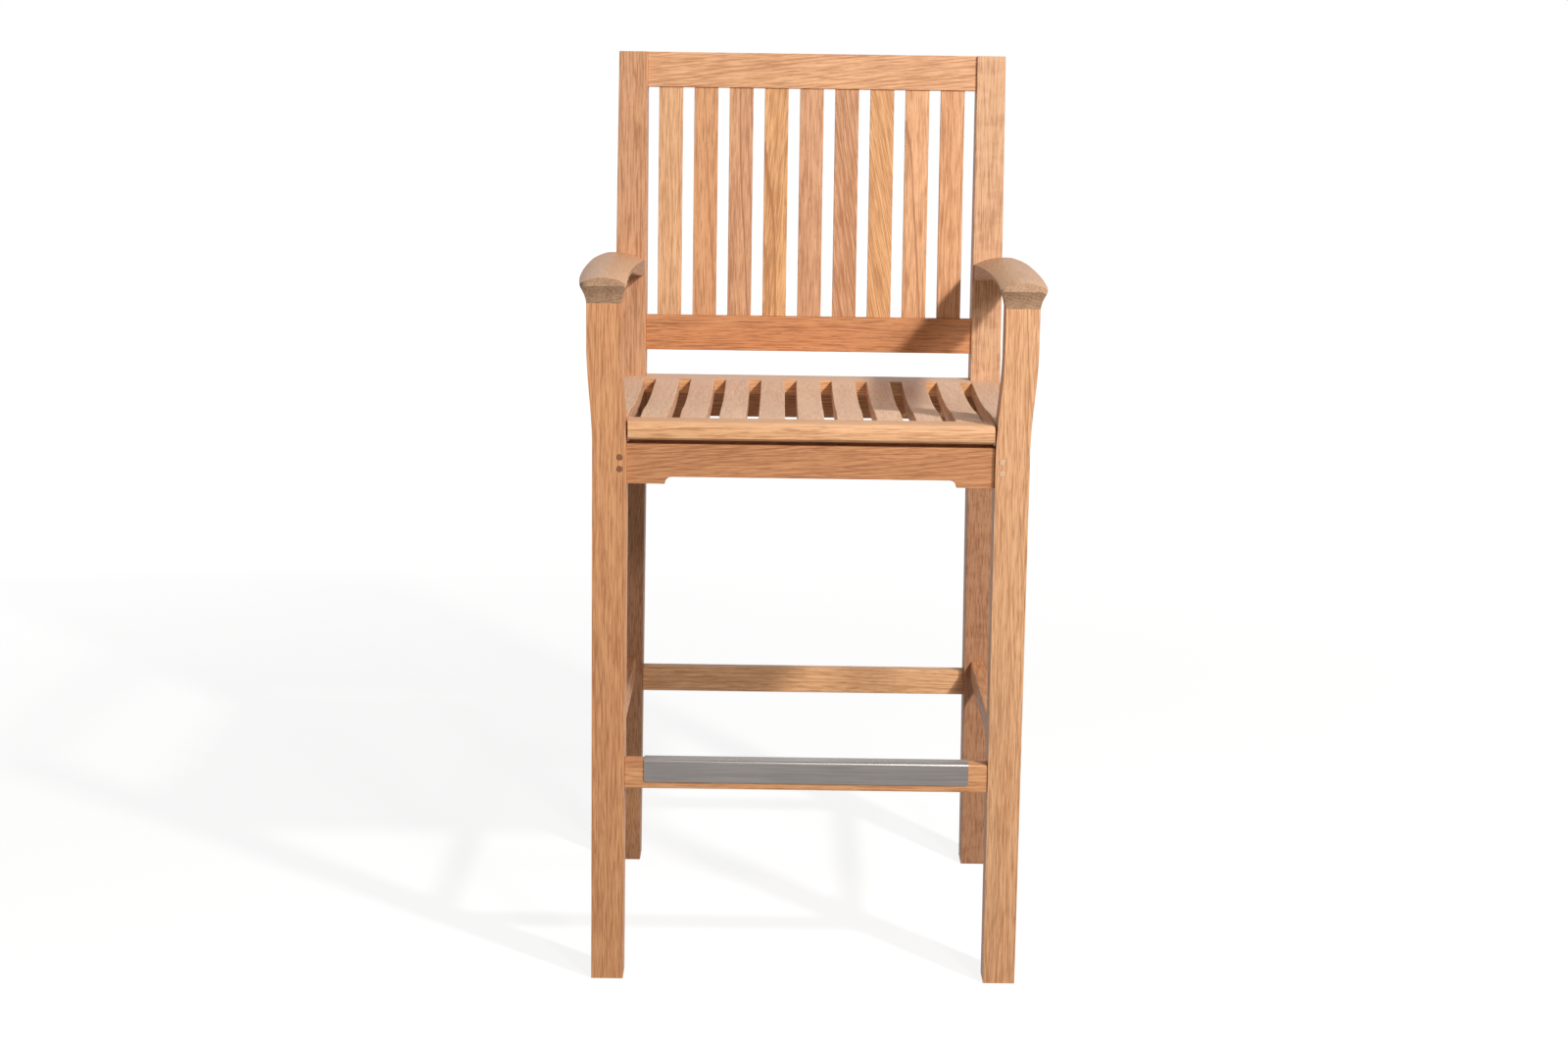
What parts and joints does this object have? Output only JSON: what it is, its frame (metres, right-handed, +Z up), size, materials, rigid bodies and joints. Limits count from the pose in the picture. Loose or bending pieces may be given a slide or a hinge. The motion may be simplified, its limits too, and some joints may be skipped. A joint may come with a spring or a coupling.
{
  "type": "bar chair",
  "caption": "Bar-height hardwood armchair with a dished slatted seat, upright slatted back, swept front legs, flared crowned arms and a footrest capped with steel.",
  "frame": {"origin": "on the floor, under the centre of the chair's bounding box", "axes": "+Z up, the front of the chair faces -Y, +X to the right seen from the front"},
  "size_m": [0.637, 0.6232, 1.233],
  "materials": {
    "teak_frame": "sanded teak, matte, straight grain along each member",
    "teak_seat": "sanded teak, matte, a little paler on the upper faces",
    "peg_wood": "sanded hardwood, end grain",
    "footrest_steel": "satin, brushed along its length"
  },
  "bodies": {
    "root": {"front_leg_left": "teak_frame", "front_leg_right": "teak_frame", "back_leg_left": "teak_frame", "back_leg_right": "teak_frame", "front_apron": "teak_frame", "rear_apron": "teak_frame", "side_apron_left": "teak_frame", "side_apron_right": "teak_frame", "back_top_rail": "teak_frame", "back_lower_rail": "teak_frame", "footrest_rail": "teak_frame", "back_stretcher": "teak_frame", "side_stretcher_left": "teak_frame", "side_stretcher_right": "teak_frame", "back_slat_1": "teak_frame", "back_slat_2": "teak_frame", "back_slat_3": "teak_frame", "back_slat_4": "teak_frame", "back_slat_5": "teak_frame", "back_slat_6": "teak_frame", "back_slat_7": "teak_frame", "back_slat_8": "teak_frame", "back_slat_9": "teak_frame", "seat_front_board": "teak_seat", "seat_rear_board": "teak_seat", "seat_slat_1": "teak_seat", "seat_slat_2": "teak_seat", "seat_slat_3": "teak_seat", "seat_slat_4": "teak_seat", "seat_slat_5": "teak_seat", "seat_slat_6": "teak_seat", "seat_slat_7": "teak_seat", "seat_slat_8": "teak_seat", "seat_slat_9": "teak_seat", "seat_slat_10": "teak_seat", "seat_slat_11": "teak_seat", "arm_left": "teak_seat", "arm_right": "teak_seat", "apron_pegs": "peg_wood", "footrest_plate": "footrest_steel"}
  },
  "joints": []
}
